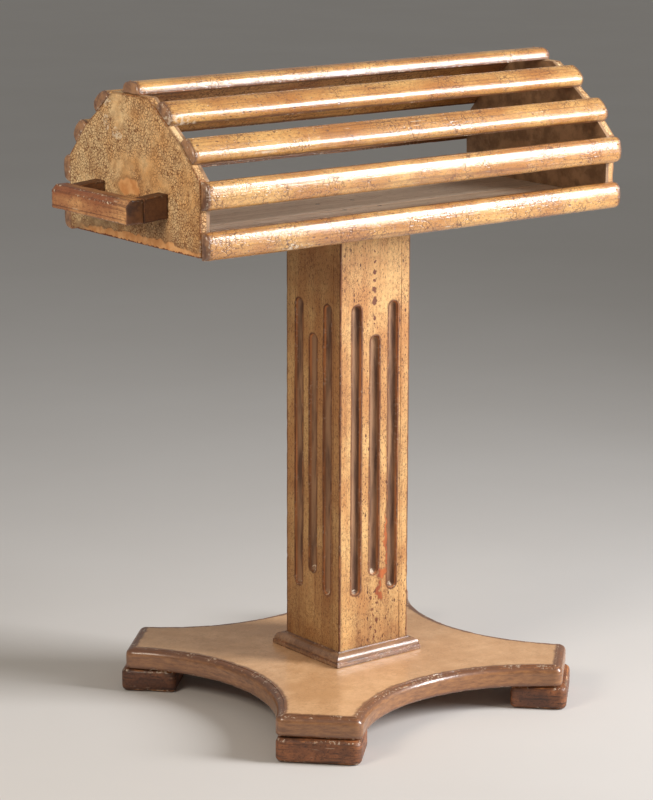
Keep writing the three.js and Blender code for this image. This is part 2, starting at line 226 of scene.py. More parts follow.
def loft(name, rings, edges, place, wear=1.0, hollows=None):
    """A closed mesh through rings of points, capped at both ends. Its points keep two attributes in
    millimetres: edge, the distance from the nearest arris, and hollow, how deep in a flute they lie."""
    bm = bmesh.new()
    edge_layer = bm.verts.layers.float.new("edge")
    hollow_layer = bm.verts.layers.float.new("hollow")
    rows = []
    for k, points in enumerate(rings):
        row = []
        for i, point in enumerate(points):
            vert = bm.verts.new(place @ Vector(point))
            vert[edge_layer] = edges[k][i] / MM
            vert[hollow_layer] = 0 if hollows is None else hollows[k][i] / MM
            row.append(vert)
        rows.append(row)
    count = len(rows[0])
    for low, high in zip(rows, rows[1:]):
        for i in range(count):
            j = (i + 1) % count
            bm.faces.new((low[i], low[j], high[j], high[i]))
    caps = [bm.faces.new(distinct(rows[0])[::-1]), bm.faces.new(distinct(rows[-1]))]
    for cap in caps:
        cap.normal_update()
    bmesh.ops.triangulate(bm, faces=caps, ngon_method="EAR_CLIP")
    bmesh.ops.remove_doubles(bm, verts=bm.verts, dist=SAME_PLACE)
    bmesh.ops.dissolve_degenerate(bm, edges=bm.edges, dist=SAME_PLACE)
    roughen(bm, edge_layer, wear)
    return finish_mesh(name, bm)


def roughen(bm, edge_layer, wear):
    """Lets the surface undulate a little, and dents it along its arrises, always inwards."""
    bm.normal_update()
    moves = []
    for vert in bm.verts:
        edge = vert[edge_layer]
        slow = noise.noise(vert.co * 14) * 0.5 + 0.5
        dent = max(noise.noise(vert.co * 55) + 0.5 * noise.noise(vert.co * 130) - 0.05, 0)
        depth = 0.25 * slow + wear * 1.5 * dent * math.exp(-((edge / 4) ** 2))
        moves.append(vert.normal * (-depth * MM))
    for vert, move in zip(bm.verts, moves):
        vert.co += move


def rounded_edge(radius, steps=ARC_STEPS):
    """Insets and heights over a rounded edge, from the end to the side."""
    angles = np.linspace(0, QUARTER, steps + 1)
    return [(radius * (1 - math.sin(a)), radius * (1 - math.cos(a))) for a in angles]


def rounded_levels(length, radius, step, rings=(0.004, 0.010)):
    """Insets and heights from the middle of one end, over its rounded edge, along the side and over the
    other end."""
    arc = rounded_edge(radius)
    cap = [(radius + r, 0.0) for r in reversed(rings)]
    count = max(int((length - 2 * radius) / step), 1)
    side = [(0.0, h) for h in np.linspace(radius, length - radius, count + 1)[1:-1]]
    far = [(inset, length - height) for inset, height in reversed(cap + arc)]
    return cap + arc + side + far


def end_arrises(length, radius):
    """The places of the two rounded edges of rounded_levels."""
    near = radius * 0.3
    return [(near, near), (near, length - near)]


def level_edges(levels, arrises):
    """Each level's distance from the nearest arris, which is given as a level too, over the surface."""
    points = np.array(levels)
    along = np.r_[0, np.cumsum(np.linalg.norm(np.diff(points, axis=0), axis=1))]
    marks = [along[np.argmin(np.hypot(*(points - arris).T))] for arris in arrises]
    return np.abs(along[:, None] - np.array(marks)[None]).min(1)


def prism(name, runs, radii, levels, arrises, place, step=STEP, wear=1.0):
    """An outline taken through levels of inset and height."""
    counts = point_counts(runs, step)
    from_arris = level_edges(levels, arrises)
    rings, edges = [], []
    for (inset, height), distance in zip(levels, from_arris):
        points, from_corner = ring(runs, counts, inset, radii)
        rings.append([(x, y, height) for x, y in points])
        edges.append(np.minimum(from_corner, distance))
    return loft(name, rings, edges, place, wear)


def bar_along(node, axis, radius, corner_angle=15, corner_radius=0.0015, step=STEP, wear=1.0,
              level_step=STEP):
    """A worn version of a node that is a straight bar or board of one outline, along axis 0, 1 or 2. The
    radius is its ends' and the corner radius its long edges'."""
    points = corners(node)
    low, high = points.min(0), points.max(0)
    across = ((axis + 1) % 3, (axis + 2) % 3)
    runs = runs_of(hull(points[:, across]), corner_angle)
    place = Matrix.Diagonal((0, 0, 0, 1))
    place[across[0]][0] = 1
    place[across[1]][1] = 1
    place[axis][2] = 1
    place[axis][3] = low[axis]
    length = high[axis] - low[axis]
    levels = rounded_levels(length, radius, level_step, rings=(0.003,))
    radii = [corner_radius] * len(runs)
    return prism(f"{node}_worn", runs, radii, levels, end_arrises(length, radius), place, step, wear)


def middle_of(*nodes):
    """The middle of the box round some CAD nodes."""
    boxes = np.array([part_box(node) for node in nodes])
    return Vector((boxes[:, 0].min(0) + boxes[:, 1].max(0)) / 2)


def settle(piece, slot, material, *nodes):
    """Gives a piece its material and body, and hides the nodes that it stands for; the slot is not used."""
    piece.data.materials.clear()
    piece.data.materials.append(material)
    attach(piece, "root")
    if nodes:
        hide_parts(*nodes)


# -------- materials


def srgb(red, green, blue):
    """A colour given as 0 to 255 on a screen, as the shader's linear one."""
    values = [c / 255 for c in (red, green, blue)]
    return [c / 12.92 if c < 0.04045 else ((c + 0.055) / 1.055) ** 2.4 for c in values] + [1.0]


class Shader:
    """Short calls that add nodes to one material."""

    def __init__(self, name, metallic=0.0, coat=0.0, coat_roughness=0.2, specular=0.5):
        self.material = bpy.data.materials.new(name)
        self.material.use_nodes = True
        self.tree = self.material.node_tree
        self.out = self.tree.nodes["Principled BSDF"].inputs
        self.out["Metallic"].default_value = metallic
        self.out["Coat Weight"].default_value = coat
        self.out["Coat Roughness"].default_value = coat_roughness
        self.out["Coat IOR"].default_value = 1.7
        self.out["Specular IOR Level"].default_value = specular
        self.place = self.add("ShaderNodeTexCoord").outputs["Object"]

    def add(self, kind, links=(), **settings):
        node = self.tree.nodes.new(kind)
        for key, value in settings.items():
            setattr(node, key, value)
        for key, value in dict(links).items():
            self.feed(node.inputs[key], value)
        return node

    def feed(self, socket, value):
        if isinstance(value, bpy.types.NodeSocket):
            self.tree.links.new(value, socket)
        else:
            socket.default_value = value

    def stretch(self, scale):
        return self.add("ShaderNodeMapping", {"Vector": self.place, "Scale": scale}).outputs["Vector"]

    def noise(self, scale, vector=None, detail=4.0, roughness=0.55):
        links = {"Vector": vector or self.place, "Scale": scale, "Detail": detail, "Roughness": roughness}
        return self.add("ShaderNodeTexNoise", links).outputs["Fac"]

    def cells(self, scale, vector=None, feature="DISTANCE_TO_EDGE"):
        links = {"Vector": vector or self.place, "Scale": scale}
        return self.add("ShaderNodeTexVoronoi", links, feature=feature).outputs

    def math(self, operation, first, second=0.0):
        node = self.add("ShaderNodeMath", operation=operation)
        self.feed(node.inputs[0], first)
        self.feed(node.inputs[1], second)
        return node.outputs[0]

    def step(self, value, low, high):
        """0 below low and 1 above high, or the other way round, with a soft change between."""
        links = {"Value": value, "From Min": low, "From Max": high}
        return self.add("ShaderNodeMapRange", links, interpolation_type="SMOOTHSTEP").outputs["Result"]

    def mix(self, factor, first, second):
        node = self.add("ShaderNodeMix", data_type="RGBA", blend_type="MIX")
        self.feed(node.inputs["Factor"], factor)
        self.feed(node.inputs[6], first)
        self.feed(node.inputs[7], second)
        return node.outputs[2]

    def over(self, colour, top, mask, amount):
        """A colour with another laid over it, by that amount where the mask is 1."""
        return self.mix(self.math("MULTIPLY", mask, amount), colour, top)

    def attribute(self, name):
        return self.add("ShaderNodeAttribute", attribute_name=name).outputs["Fac"]

    def axis(self, name):
        """The place along X, Y or Z."""
        return self.add("ShaderNodeSeparateXYZ", {"Vector": self.place}).outputs[name]

    def vector(self, operation, *values):
        node = self.add("ShaderNodeVectorMath", operation=operation)
        for socket, value in zip(node.inputs, values):
            self.feed(socket, value)
        return node.outputs

    def warped(self, amount, scale):
        """The piece's coordinates, pushed about by noise so that patterns don't look regular."""
        links = {"Vector": self.place, "Scale": scale, "Detail": 2.0}
        pushed = self.add("ShaderNodeTexNoise", links).outputs["Color"]
        less = self.vector("SUBTRACT", pushed, (0.5, 0.5, 0.5))[0]
        return self.vector("MULTIPLY_ADD", less, (amount, amount, amount), self.place)[0]

    def spot(self, vector, centre, radii, low=0.75, high=1.0):
        """1 inside an ellipsoid, 0 outside."""
        away = self.vector("SUBTRACT", vector, centre)[0]
        scaled = self.vector("DIVIDE", away, radii)[0]
        return self.step(self.vector("LENGTH", scaled)["Value"], high, low)

    def spots(self, vector, places, low=0.75, high=1.0):
        """The union of several spots."""
        total = 0.0
        for centre, radii in places:
            total = self.math("MAXIMUM", total, self.spot(vector, centre, radii, low, high))
        return total

    def finish(self, colour, roughness, height, distance, strength=0.6):
        self.feed(self.out["Base Color"], colour)
        self.feed(self.out["Roughness"], roughness)
        links = {"Height": height, "Distance": distance, "Strength": strength}
        bump = self.add("ShaderNodeBump", links)
        self.feed(self.out["Normal"], bump.outputs["Normal"])
        self.feed(self.out["Coat Normal"], bump.outputs["Normal"])
        return self.material


# How patterns are stretched by the direction of the grain
GRAIN = {"x": (0.12, 1, 1), "y": (1, 0.12, 1), "z": (1, 1, 0.12), "level": (0.3, 0.3, 1), "even": (1, 1, 1)}
WOOD_LIGHT = srgb(200, 128, 68)
WOOD_DARK = srgb(112, 60, 32)
FLECK = srgb(88, 48, 26)
CHIP = srgb(232, 212, 184)

# A painted finish where it isn't told otherwise. Amounts are 0 to 1.
PAINT = {
    "crack": 0.6,
    "crack_size": 0.0055,
    "crack_width": 0.16,  # share of a cell
    "cover": (0.32, 0.60),  # the noise at which cracks start, and at which they're full
    "breaks": 0.75,  # how much the net of cracks is broken up
    "flecks": 0.4,
    "speckle": 0.3,
    "streaks": 0.15,
    "brushed": 0.3,  # how far the brush strokes stand out in the relief
    "rim": 0.8,  # glaze along the arrises
    "rim_width": 5.0,  # in millimetres
    "bare": 0.5,  # wood on the arrises
    "chips": 0.5,  # pale ground near the arrises
    "scratches": 0.0,
    "gloss": 0.34,  # the lowest roughness
    "coat": 0.0,
    "side": None,  # a height, and the light and dark tones below it
    "soil": (),  # pairs of a height that is darkest and one where the darkening ends, painted shade except for glaze at the column's foot
    "aged": None,  # the X of a face that is darkened as painted shade
    "hollows": False,  # whether it has flutes
    "plain": None,  # what plain_faces is given
    "patches": (),  # spots of patch_tones
    "patch_tones": (srgb(206, 142, 84), srgb(228, 172, 114)),
    "patch_tear": 0.016,
    "dark_spots": (),
    "pale_spots": (),
}


def paint(name, grain, light, dark, glaze, **changes):
    """Old varnished paint over wood: two tones, cracks filled with brown glaze, dark flecks, a glazed rim
    along the arrises with bare wood and pale chips on it, and spots of wood, pale ground and glaze. Glaze and
    painted shade darken it towards some heights, painted shade darkens one face, and some spots are painted
    shade and painted highlights."""
    look = SimpleNamespace(grain=GRAIN[grain], light=light, dark=dark, glaze=glaze, **{**PAINT, **changes})
    s = Shader(name, coat=look.coat, coat_roughness=0.17)
    along = s.stretch(look.grain)
    long = s.stretch(tuple(g ** 2 for g in look.grain))
    brush = s.noise(230.0, long, 3.0)
    cracks = crackle(s, look)
    dots = fleck_dots(s, look, along)
    ragged = s.math("MULTIPLY", s.noise(70.0, along, 5.0, 0.65), 2.0)
    nearness = s.math("DIVIDE", s.attribute("edge"), ragged)
    colour = two_tones(s, look, along, brush)
    colour = s.mix(cracks, colour, look.glaze)
    colour = s.mix(dots, colour, FLECK)
    colour = glazed_and_shaded(s, look, colour, along)
    colour = worn_arrises(s, look, colour, along, nearness)
    if look.hollows:
        colour = flute_colour(s, colour)
    if look.plain:
        colour, cracks = plain_faces(s, colour, cracks, along, *look.plain)
    if look.patches:
        colour, cracks = patched(s, look, colour, cracks, along)
    colour = marked(s, look, colour, long, nearness)
    strokes = s.math("MULTIPLY", brush, look.brushed)
    scatter = s.math("ADD", s.math("ADD", cracks, s.noise(30.0)), strokes)
    roughness = s.math("ADD", look.gloss, s.math("MULTIPLY", scatter, 0.22))
    ridges = s.math("ADD", s.math("MULTIPLY", s.noise(75.0, along, 5.0), 0.5), strokes)
    height = s.math("SUBTRACT", ridges, s.math("MAXIMUM", cracks, dots))
    return s.finish(colour, roughness, height, 0.0006)


def two_tones(s, look, along, brush):
    """The paint, mottled, streaked by the brush and speckled with glaze."""
    tone = s.math("ADD", s.noise(9.0, s.place, 3.0), s.math("MULTIPLY", s.noise(38.0, along), 0.6))
    colour = s.mix(s.step(tone, 0.60, 1.0), look.light, look.dark)
    mottle = s.step(s.noise(130.0, s.place, 4.0), 0.40, 0.66)
    colour = s.over(colour, look.dark, mottle, 0.35)
    if look.side:
        colour = lower_faces(s, colour, *look.side)
    colour = s.over(colour, look.glaze, s.step(brush, 0.50, 0.70), look.streaks)
    short = s.stretch(tuple(g ** 0.4 for g in look.grain))
    grit = s.step(s.noise(330.0, short, 5.0, 0.7), 0.52, 0.64)
    return s.over(colour, look.glaze, grit, look.speckle)


def lower_faces(s, colour, height, light, dark):
    """Two streaky tones on everything below a height."""
    streaky = s.noise(150.0, s.stretch((0.30, 0.30, 1.6)), 6.0, 0.68)
    lower = s.mix(s.step(streaky, 0.30, 0.72), light, dark)
    return s.mix(s.step(s.axis("Z"), height + 0.0003, height - 0.0003), colour, lower)


def crackle(s, look):
    """A net of cracks in clusters, broken in places, with hair cracks everywhere."""
    bent = s.warped(0.009, 60.0)
    net = s.cells(1 / look.crack_size, bent)["Distance"]
    fine = s.cells(2.3 / look.crack_size, bent)["Distance"]
    clusters = s.step(s.noise(14.0, s.place, 3.0), *look.cover)
    clusters = s.math("ADD", s.math("MULTIPLY", clusters, 0.90), 0.10)
    whole = s.math("MULTIPLY", s.step(s.noise(100.0, s.place, 3.0), 0.42, 0.54), look.breaks)
    unbroken = s.math("ADD", whole, 1 - look.breaks)
    clusters = s.math("MULTIPLY", clusters, unbroken)
    lines = s.math("MULTIPLY", s.step(net, look.crack_width, look.crack_width * 0.15), clusters)
    hairs = s.math("MULTIPLY", s.step(fine, look.crack_width * 0.9, 0.02), 0.3)
    return s.math("MULTIPLY", s.math("MAXIMUM", lines, hairs), look.crack)


def fleck_dots(s, look, along):
    """Dots of two sizes, in crowds."""
    dots = s.math("MAXIMUM", fleck_mask(s, look, 150.0, 0.80), fleck_mask(s, look, 300.0, 0.60))
    crowds = s.step(s.noise(17.0, along, 3.0), 0.38, 0.58)
    return s.math("MULTIPLY", dots, s.math("MULTIPLY", crowds, look.flecks))


def fleck_mask(s, look, scale, rarity):
    """Small spots drawn out a little along the grain, in a few of the cells of a net."""
    pits = s.cells(scale, s.stretch(tuple(0.45 + 0.55 * g for g in look.grain)), "F1")
    kind = s.add("ShaderNodeSeparateColor", {"Color": pits["Color"]}).outputs[0]
    chosen = s.step(kind, rarity, rarity + 0.03)
    return s.math("MULTIPLY", s.step(pits["Distance"], 0.34, 0.16), chosen)


def glazed_and_shaded(s, look, colour, along):
    """Glaze colour that thickens towards some heights, as painted shade except at the column's foot, and
    painted shade on one face.
    """
    for darkest, fade_end in look.soil:
        towards_dark = s.step(s.axis("Z"), fade_end, darkest)
        glaze_and_shade_mask = s.math("MULTIPLY", towards_dark, s.step(s.noise(30.0, along, 4.0), 0.25, 0.75))
        colour = s.over(colour, look.glaze, glaze_and_shade_mask, 0.75)
    if look.aged is not None:
        painted_shade_side = s.step(s.axis("X"), look.aged + 0.001, look.aged)
        colour = s.over(colour, look.glaze, painted_shade_side, 0.30)
    return colour


def worn_arrises(s, look, colour, along, nearness):
    """Glaze along the arrises, and wood where they're rubbed bare."""
    rimmed = s.step(s.math("DIVIDE", nearness, look.rim_width), 1.1, 0.35)
    colour = s.over(colour, look.glaze, rimmed, look.rim)
    worn = s.math("MULTIPLY", s.step(nearness, 2.6, 1.0), s.step(s.noise(28.0), 0.42, 0.60))
    wood = s.mix(s.step(s.noise(120.0, along, 5.0), 0.35, 0.65), WOOD_DARK, WOOD_LIGHT)
    return s.over(colour, wood, worn, look.bare)


def patched(s, look, colour, cracks, along):
    """Torn uncracked patches in two tones, with glaze round them."""
    torn = s.warped(look.patch_tear, 60.0)
    halo = s.spots(torn, look.patches, 0.90, 1.35)
    colour = s.over(colour, look.glaze, halo, 0.40)
    patch = s.spots(torn, look.patches)
    tone = s.mix(s.step(s.noise(70.0, along, 4.0), 0.35, 0.65), *look.patch_tones)
    return s.mix(patch, colour, tone), s.math("MULTIPLY", cracks, s.math("SUBTRACT", 1.0, patch))


def marked(s, look, colour, long, nearness):
    """Dark spots of wood, pale spots of paint flakes, scratches, and chips near the arrises. The panel's dark
    spot is a painted shadow line along its bottom edge, and the column's pale spots are painted highlights.
    """
    # on the panel, the dark spot is a painted shadow line along the bottom edge
    if look.dark_spots:
        colour = s.mix(s.spots(s.warped(0.010, 160.0), look.dark_spots), colour, WOOD_DARK)
    # pale spots: paint flakes, and on the column painted highlights in the flutes' round lower ends
    if look.pale_spots:
        pale = s.spots(s.warped(0.024, 70.0), look.pale_spots)
        flakes_and_highlights = s.math("MULTIPLY", pale, s.step(s.noise(170.0), 0.44, 0.60))
        colour = s.over(colour, CHIP, flakes_and_highlights, 0.75)
    lines = s.step(s.noise(190.0, long, 2.0), 0.64, 0.70)
    scratch = s.math("MULTIPLY", lines, s.step(s.noise(24.0), 0.56, 0.64))
    colour = s.over(colour, CHIP, scratch, look.scratches)
    some = s.step(s.noise(26.0, s.warped(0.02, 90.0), 4.0), 0.47, 0.58)
    grains = s.step(s.noise(210.0, s.place, 4.0, 0.65), 0.53, 0.60)
    flaking = s.math("MULTIPLY", s.math("MULTIPLY", s.step(nearness, 4.2, 0.6), some), grains)
    return s.over(colour, CHIP, flaking, look.chips)


def plain_faces(s, colour, cracks, along, axis, centre, low, high, light, dark):
    """Uncracked faces in two tones, where the distance from a centre along an axis is from low to high."""
    away = s.math("ABSOLUTE", s.math("SUBTRACT", s.axis(axis), centre))
    here = s.math("MULTIPLY", s.step(away, low - 0.0004, low), s.step(away, high, high - 0.0004))
    tone = s.mix(s.step(s.noise(48.0, along, 5.0, 0.6), 0.35, 0.66), light, dark)
    return s.mix(here, colour, tone), s.math("MULTIPLY", cracks, s.math("SUBTRACT", 1.0, here))


def flute_colour(s, colour):
    """Grey-brown glaze gathered in a flute, with orange wood showing on its worn walls."""
    hollow = s.attribute("hollow")
    along = s.stretch(GRAIN["z"])
    floor = s.mix(s.step(s.noise(70.0, along, 4.0), 0.35, 0.65), srgb(158, 118, 84), srgb(92, 60, 40))
    walls = s.mix(s.step(s.noise(24.0, along, 4.0), 0.42, 0.60), srgb(128, 80, 46), srgb(198, 124, 70))
    uneven = s.math("ADD", hollow, s.math("MULTIPLY", s.noise(55.0, along, 5.0, 0.65), 3.0))
    inner = s.mix(s.step(uneven, 3.6, 6.4), walls, floor)
    return s.mix(s.step(hollow, 0.3, 1.6), colour, inner)


def bare_wood(name, grain, light, dark, gloss=0.6):
    """Bare sawn wood with rings drawn out along the grain, and darker pores."""
    s = Shader(name)
    along = s.stretch(GRAIN[grain])
    rings = s.noise(60.0, s.stretch(tuple(g ** 2 for g in GRAIN[grain])), 5.0, 0.6)
    colour = s.mix(s.step(rings, 0.35, 0.68), light, dark)
    stain = s.step(s.noise(7.0, s.place, 4.0), 0.40, 0.70)
    colour = s.over(colour, dark, stain, 0.45)
    pores = s.step(s.noise(420.0, along, 2.0), 0.58, 0.70)
    colour = s.over(colour, WOOD_DARK, pores, 0.5)
    colour = s.over(colour, dark, s.step(s.attribute("edge"), 3.0, 0.5), 0.35)
    roughness = s.math("ADD", gloss, s.math("MULTIPLY", pores, 0.2))
    return s.finish(colour, roughness, s.math("SUBTRACT", s.math("MULTIPLY", rings, 0.4), pores), 0.0003)


def steel(name):
    """Dull steel with brown tarnish in patches."""
    s = Shader(name, metallic=0.85)
    rust = s.step(s.noise(260.0, s.place, 5.0), 0.46, 0.62)
    colour = s.mix(rust, srgb(128, 122, 114), srgb(92, 62, 44))
    roughness = s.math("ADD", 0.38, s.math("MULTIPLY", rust, 0.35))
    return s.finish(colour, roughness, s.noise(700.0), 0.0001)


# -------- camera, light and floor

FOCAL_LENGTH = 127.84  # in millimetres, for a 36 mm sensor
CAMERA_PLACE = (-2.9384, -3.7793, 1.6506)
CAMERA_TILT = 13.15  # degrees below the horizon
CAMERA_TURN = 37.8  # degrees from +Y towards +X
CAMERA_ROLL = 0.16
LIT_HEIGHT = 0.7  # the lamps face the rack's axis at this height
SKY_COLOUR = (0.80, 0.78, 0.75, 1)
SKY_STRENGTH = 0.31
FLOOR_REACH = 40


def add_camera():
    data = bpy.data.cameras.new("camera")
    data.lens = FOCAL_LENGTH
    data.sensor_width = 36
    data.clip_end = 200
    camera = bpy.data.objects.new("camera", data)
    camera.location = CAMERA_PLACE
    facing = Euler((QUARTER - math.radians(CAMERA_TILT), 0, -math.radians(CAMERA_TURN)))
    roll = Matrix.Rotation(math.radians(CAMERA_ROLL), 3, "Z")
    camera.rotation_euler = (facing.to_matrix() @ roll).to_euler()
    bpy.context.scene.collection.objects.link(camera)
    bpy.context.scene.camera = camera


def add_lamp(name, azimuth, elevation, distance, size, power, colour, spread=180):
    """A soft rectangular light. Azimuth 0 is in front of the rack and 90 at its right."""
    data = bpy.data.lights.new(name, "AREA")
    data.shape = "RECTANGLE"
    data.size, data.size_y = size
    data.energy = power
    data.spread = math.radians(spread)
    data.color = colour
    lamp = bpy.data.objects.new(name, data)
    a, e = math.radians(azimuth), math.radians(elevation)
    back = Vector((math.sin(a) * math.cos(e), -math.cos(a) * math.cos(e), math.sin(e)))
    lamp.location = Vector((0, 0, LIT_HEIGHT)) + back * distance
    lamp.rotation_euler = (-back).to_track_quat("-Z", "Y").to_euler()
    bpy.context.scene.collection.objects.link(lamp)


def add_studio():
    bpy.context.scene.view_settings.view_transform = "Standard"
    add_lamp("key", 41, 21, 3.4, (1.1, 2.0), 65, (0.98, 0.98, 1.0), spread=105)
    add_lamp("fill", -78, 25, 2.0, (0.7, 0.7), 15, (1.0, 0.88, 0.74))
    world = bpy.data.worlds.new("studio")
    world.use_nodes = True
    sky = world.node_tree.nodes["Background"].inputs
    sky["Color"].default_value = SKY_COLOUR
    sky["Strength"].default_value = SKY_STRENGTH
    bpy.context.scene.world = world
    add_floor()


def add_floor():
    mesh = bpy.data.meshes.new("floor")
    corner = [(-1, -1), (1, -1), (1, 1), (-1, 1)]
    mesh.from_pydata([(x * FLOOR_REACH, y * FLOOR_REACH, 0) for x, y in corner], [], [(0, 1, 2, 3)])
    floor = bpy.data.objects.new("floor", mesh)
    bpy.context.scene.collection.objects.link(floor)
    s = Shader("floor", specular=0.1)
    shade = s.mix(s.noise(1.5, s.place, 4.0), srgb(212, 208, 203), srgb(220, 217, 213))
    floor.data.materials.append(s.finish(shade, 0.75, s.noise(40.0), 0.0005, 0.2))


# -------- base


def turned(point, angle):
    """A point in a plane, turned about the origin."""
    x, y = point
    sine, cosine = math.sin(angle), math.cos(angle)
    return np.array((x * cosine - y * sine, x * sine + y * cosine))


def base_runs():
    """The outline of the base: four flat arm ends, joined by hollowed sides that are arcs."""
    half = ARM_WIDTH / 2
    tip_out = (ARM_REACH + half) * math.sqrt(0.5)
    tip_across = (ARM_REACH - half) * math.sqrt(0.5)
    rise = tip_out - WAIST
    radius = (rise ** 2 + tip_across ** 2) / (2 * rise)
    spread = math.asin(tip_across / radius)
    runs = []
    for i in range(4):
        angle = (i + 0.5) * QUARTER
        runs.append(np.array([turned((ARM_REACH, -half), angle), turned((ARM_REACH, half), angle)]))
        side = angle + QUARTER / 2
        centre = turned((WAIST + radius, 0), side)
        sweep = np.linspace(spread, -spread, 60)
        runs.append(np.array([centre - turned((radius, 0), side + t) for t in sweep]))
    return runs


def add_base(materials):
    low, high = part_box("base_board")
    middle = middle_of("base_board")
    thickness = high.z - low.z
    top = thickness - QUIRK_HEIGHT
    side = [(0.0, h) for h in np.linspace(LOWER_ROUND, top - OVOLO, 5)[1:-1]]
    ovolo = [(inset, top - height) for inset, height in reversed(rounded_edge(OVOLO, 7))]
    shoulder = OVOLO + QUIRK_WIDTH
    quirk = [(shoulder, top), (shoulder, thickness - 0.0004)]
    flat = [(shoulder + extra, thickness) for extra in (0.0004, 0.003, 0.007, 0.013, 0.022)]
    levels = [(0.018, 0.0)] + rounded_edge(LOWER_ROUND, 5) + side + ovolo + quirk + flat
    bottom_arris = end_arrises(thickness, LOWER_ROUND)[0]
    arrises = [bottom_arris, (OVOLO * 0.5, top - OVOLO * 0.14), (shoulder, thickness)]
    place = Matrix.Translation((middle.x, middle.y, low.z))
    runs = base_runs()
    board = prism("base_board_worn", runs, [ARM_CORNER] * len(runs), levels, arrises, place)
    settle(board, "base_paint", materials["base"], "base_board")
    for i, name in enumerate(("back_right", "back_left", "front_left", "front_right")):
        add_foot(f"foot_{name}", middle, (i + 0.5) * QUARTER, materials["foot"])


def add_foot(node, middle, angle, material):
    """A block along an arm, with all its edges rounded, that stands flat on the floor."""
    axis = Vector((middle.x, middle.y, 0))
    points = corners(node, axis, angle)
    low, high = points.min(0), points.max(0)
    outline = np.array([(low[0], low[1]), (high[0], low[1]), (high[0], high[1]), (low[0], high[1])])
    height = high[2] - low[2]
    levels = rounded_levels(height, FOOT_ROUND, STEP)
    arrises = end_arrises(height, FOOT_ROUND)
    place = Matrix.Translation(axis) @ Matrix.Rotation(angle, 4, "Z")
    radii = [FOOT_INNER_CORNER, FOOT_CORNER, FOOT_CORNER, FOOT_INNER_CORNER]
    foot = prism(f"{node}_worn", runs_of(outline, 15), radii, levels, arrises, place, wear=1.3)
    for vert in foot.data.vertices:
        vert.co.z = max(vert.co.z, low[2])
    settle(foot, "dark_paint", material, node)


# -------- column


def flute_depths(across, up, length):
    """How deep the flutes are at places on a face, the distance from their rims, below 0 inside, and the
    direction away from the nearest flute's middle line."""
    half = FLUTE_WIDTH / 2
    radius = (half ** 2 + FLUTE_DEPTH ** 2) / (2 * FLUTE_DEPTH)
    rim = np.full(across.shape, 1.0)
    nearest = np.zeros(across.shape + (2,))
    for step, (start, end) in ((-1, FLUTE_ENDS), (0, MIDDLE_FLUTE_ENDS), (1, FLUTE_ENDS)):
        line = np.clip(up, start + half, length - end - half)
        away = np.stack([across - step * FLUTE_PITCH, up - line], -1)
        distance = np.linalg.norm(away, axis=-1)
        closer = distance - half < rim
        rim = np.where(closer, distance - half, rim)
        nearest[closer] = (away / np.maximum(distance, 1e-9)[..., None])[closer]
    inside = np.clip(rim + half, 0, half)
    depth = np.sqrt(radius ** 2 - inside ** 2) - (radius - FLUTE_DEPTH)
    return np.where(rim < 0, depth, 0), rim, nearest


def flute_grid(low, high, length):
    """Places across and up a board's face, close together near the flutes' rims."""
    half = FLUTE_WIDTH / 2
    reach = 0.016
    near_rim = [-0.0135, -0.0115, -half, -0.0092, -0.0080, -0.0062, -0.0040, -0.0020]
    across = set(np.round(np.arange(low + 0.004, high - 0.003, STEP), 5))
    for step in (-1, 0, 1):
        centre = step * FLUTE_PITCH
        across = {x for x in across if abs(x - centre) > reach}
        across |= {round(centre + x, 5) for x in near_rim + [0.0] + [-x for x in near_rim]}
    up = set(np.round(np.arange(0, length, STEP * 1.6), 5))
    for start, end in (FLUTE_ENDS, MIDDLE_FLUTE_ENDS):
        for tip in (start + half, length - end - half):
            up = {z for z in up if abs(z - tip) > reach}
            up |= set(np.round(tip + np.arange(-reach, reach + 0.0001, 0.0016), 5))
    return np.array(sorted(across)), np.array(sorted(up))


def board_plan(low, high, across):
    """A column board's plan, anticlockwise from its left arris, and which points are on the outer face."""
    arris, joint = COLUMN_ARRIS, COLUMN_JOINT
    arc = np.linspace(0, QUARTER, 4)
    near = [(low[0] + arris * (1 - math.cos(a)), low[1] + arris * (1 - math.sin(a))) for a in arc]
    far = [(high[0] - joint * (1 - math.sin(a)), low[1] + joint * (1 - math.cos(a))) for a in arc]
    outer = [(x, low[1]) for x in across if low[0] + 2 * arris < x < high[0] - 2 * arris]
    right = [(high[0], y) for y in np.linspace(low[1] + 2 * arris, high[1], 4)]
    back = [(x, high[1]) for x in np.linspace(high[0], low[0], 10)[1:-1]]
    left = [(low[0], y) for y in np.linspace(high[1], low[1] + 2 * arris, 6)]
    plan = np.array(near + outer + far + right + back + left)
    face = np.zeros(len(plan), bool)
    face[len(near):len(near) + len(outer)] = True
    return plan, face


